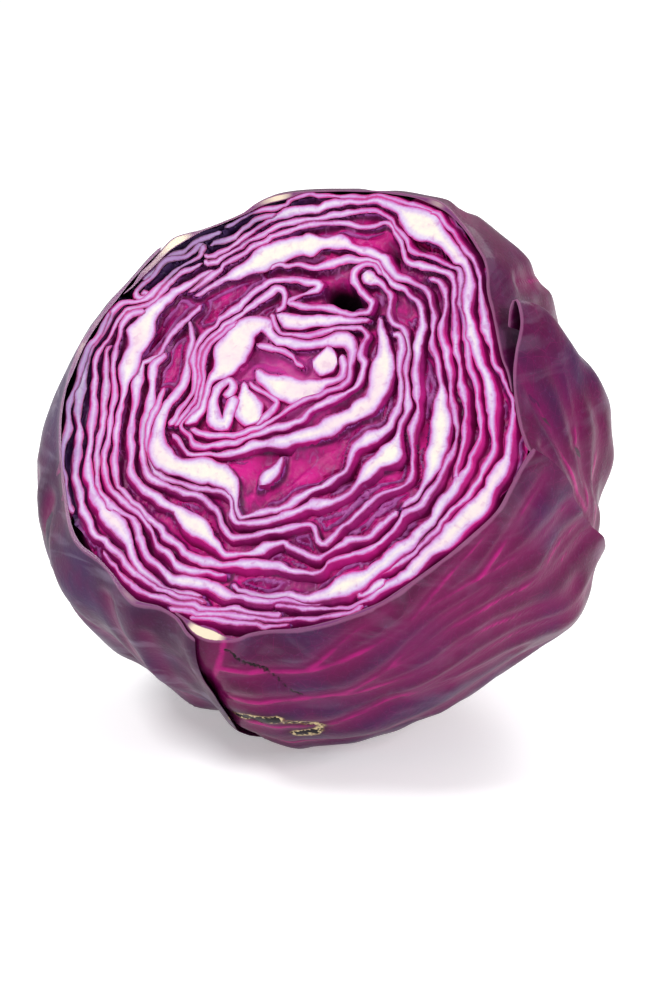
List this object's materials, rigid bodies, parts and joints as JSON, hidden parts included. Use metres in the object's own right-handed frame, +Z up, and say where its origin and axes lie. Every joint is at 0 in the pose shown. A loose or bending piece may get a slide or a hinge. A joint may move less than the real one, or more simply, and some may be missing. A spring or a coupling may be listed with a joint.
{
  "type": "red cabbage",
  "caption": "Head of red cabbage with its top sliced off, folded leaves and pale ribs showing in the cut, resting on a small flat spot with its stem to the rear.",
  "frame": {"origin": "middle of the underside, at the level of the flat spot that the head rests on", "axes": "+Z up; the cut face looks up towards -Y, its normal raised 40 degrees; the stem points down towards +Y; +X is to the right of someone who faces the cut"},
  "size_m": [0.1636, 0.1612, 0.1625],
  "materials": {
    "wrapper_leaf": "waxy dark purple skin, satin, with magenta veins",
    "head_leaf": "magenta skin over white flesh, moist and satin on the cut",
    "heart_leaf": "pale lilac flesh with magenta skin, moist",
    "stem": "fibrous cream stem, matt, dry where it was cut"
  },
  "bodies": {
    "root": {"wrapper_leaf_01": "wrapper_leaf", "wrapper_leaf_02": "wrapper_leaf", "wrapper_leaf_03": "wrapper_leaf", "wrapper_leaf_04": "wrapper_leaf", "head_leaf_01": "head_leaf", "head_leaf_02": "head_leaf", "head_leaf_03": "head_leaf", "head_leaf_04": "head_leaf", "head_leaf_05": "head_leaf", "head_leaf_06": "head_leaf", "head_leaf_07": "head_leaf", "head_leaf_08": "head_leaf", "head_leaf_09": "head_leaf", "head_leaf_10": "head_leaf", "head_leaf_11": "head_leaf", "head_leaf_12": "head_leaf", "head_leaf_13": "head_leaf", "head_leaf_14": "head_leaf", "heart_leaf_01": "heart_leaf", "heart_leaf_02": "heart_leaf", "heart_leaf_03": "heart_leaf", "heart_leaf_04": "heart_leaf", "heart_leaf_05": "heart_leaf", "heart_leaf_06": "heart_leaf", "stem_core": "stem"}
  },
  "joints": []
}
